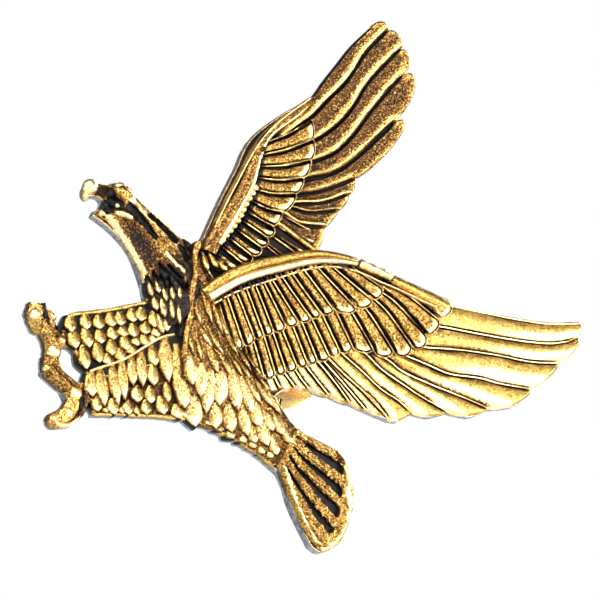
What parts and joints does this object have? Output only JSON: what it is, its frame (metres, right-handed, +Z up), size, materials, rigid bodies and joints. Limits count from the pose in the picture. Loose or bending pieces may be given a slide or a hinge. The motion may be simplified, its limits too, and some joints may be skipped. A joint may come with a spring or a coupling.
{
  "type": "eagle cap badge",
  "caption": "Cast eagle cap badge in antique gold, held to a cap's cloth by soldered pins and butterfly clutches.",
  "frame": {"origin": "on the flat back, midway between the two pins", "axes": "+Z up as worn, -Y towards the viewer of the badge's front, +Y out of the back along the pins, +X to the viewer's right"},
  "size_m": [0.0703, 0.0139, 0.0653],
  "materials": {
    "antique_gold": "antique gold plate, dark patina in the recesses",
    "clutch_brass": "bright stamped brass",
    "pin_metal": "bright drawn wire",
    "solder": "dull soft solder"
  },
  "bodies": {
    "badge": {"eagle_casting": "antique_gold", "lower_pin": "pin_metal", "lower_pin_solder": "solder", "upper_pin": "pin_metal", "upper_pin_solder": "solder"},
    "lower_clutch": {"lower_clutch_cup": "clutch_brass"},
    "lower_spring": {"lower_clutch_spring_plate": "clutch_brass"},
    "lower_right_wing": {"lower_clutch_right_wing": "clutch_brass"},
    "lower_left_wing": {"lower_clutch_left_wing": "clutch_brass"},
    "upper_clutch": {"upper_clutch_cup": "clutch_brass"},
    "upper_spring": {"upper_clutch_spring_plate": "clutch_brass"},
    "upper_right_wing": {"upper_clutch_right_wing": "clutch_brass"},
    "upper_left_wing": {"upper_clutch_left_wing": "clutch_brass"}
  },
  "joints": [
    {"name": "lower_clutch_pull", "type": "slide", "parent": "badge", "child": "lower_clutch", "axis": [0, 1, 0], "range_m": [-0.0015, 0.008]},
    {"name": "lower_clutch_swivel", "type": "hinge", "parent": "lower_clutch", "child": "lower_spring", "pos_m": [0.0006, 0.003, -0.008], "axis": [0, 1, 0], "continuous": true},
    {"name": "lower_right_wing_squeeze", "type": "hinge", "parent": "lower_spring", "child": "lower_right_wing", "pos_m": [-0.00135, 0.0034, -0.008], "axis": [0, 0, 1], "range_deg": [0, 8], "stiffness_Nm_per_rad": 0.001},
    {"name": "lower_left_wing_squeeze", "type": "hinge", "parent": "lower_spring", "child": "lower_left_wing", "pos_m": [0.00255, 0.0034, -0.008], "axis": [0, 0, 1], "range_deg": [-8, 0], "stiffness_Nm_per_rad": 0.001},
    {"name": "upper_clutch_pull", "type": "slide", "parent": "badge", "child": "upper_clutch", "axis": [0, 1, 0], "range_m": [-0.0015, 0.008]},
    {"name": "upper_clutch_swivel", "type": "hinge", "parent": "upper_clutch", "child": "upper_spring", "pos_m": [-0.0006, 0.003, 0.008], "axis": [0, 1, 0], "continuous": true},
    {"name": "upper_right_wing_squeeze", "type": "hinge", "parent": "upper_spring", "child": "upper_right_wing", "pos_m": [-0.0022, 0.0034, 0.00688], "axis": [-0.5736, 0, 0.8192], "range_deg": [0, 8], "stiffness_Nm_per_rad": 0.001},
    {"name": "upper_left_wing_squeeze", "type": "hinge", "parent": "upper_spring", "child": "upper_left_wing", "pos_m": [0.001, 0.0034, 0.00912], "axis": [-0.5736, 0, 0.8192], "range_deg": [-8, 0], "stiffness_Nm_per_rad": 0.001}
  ],
  "couplings": [
    {"joint": "lower_left_wing_squeeze", "follows": "lower_right_wing_squeeze", "ratio": -1},
    {"joint": "upper_left_wing_squeeze", "follows": "upper_right_wing_squeeze", "ratio": -1}
  ]
}
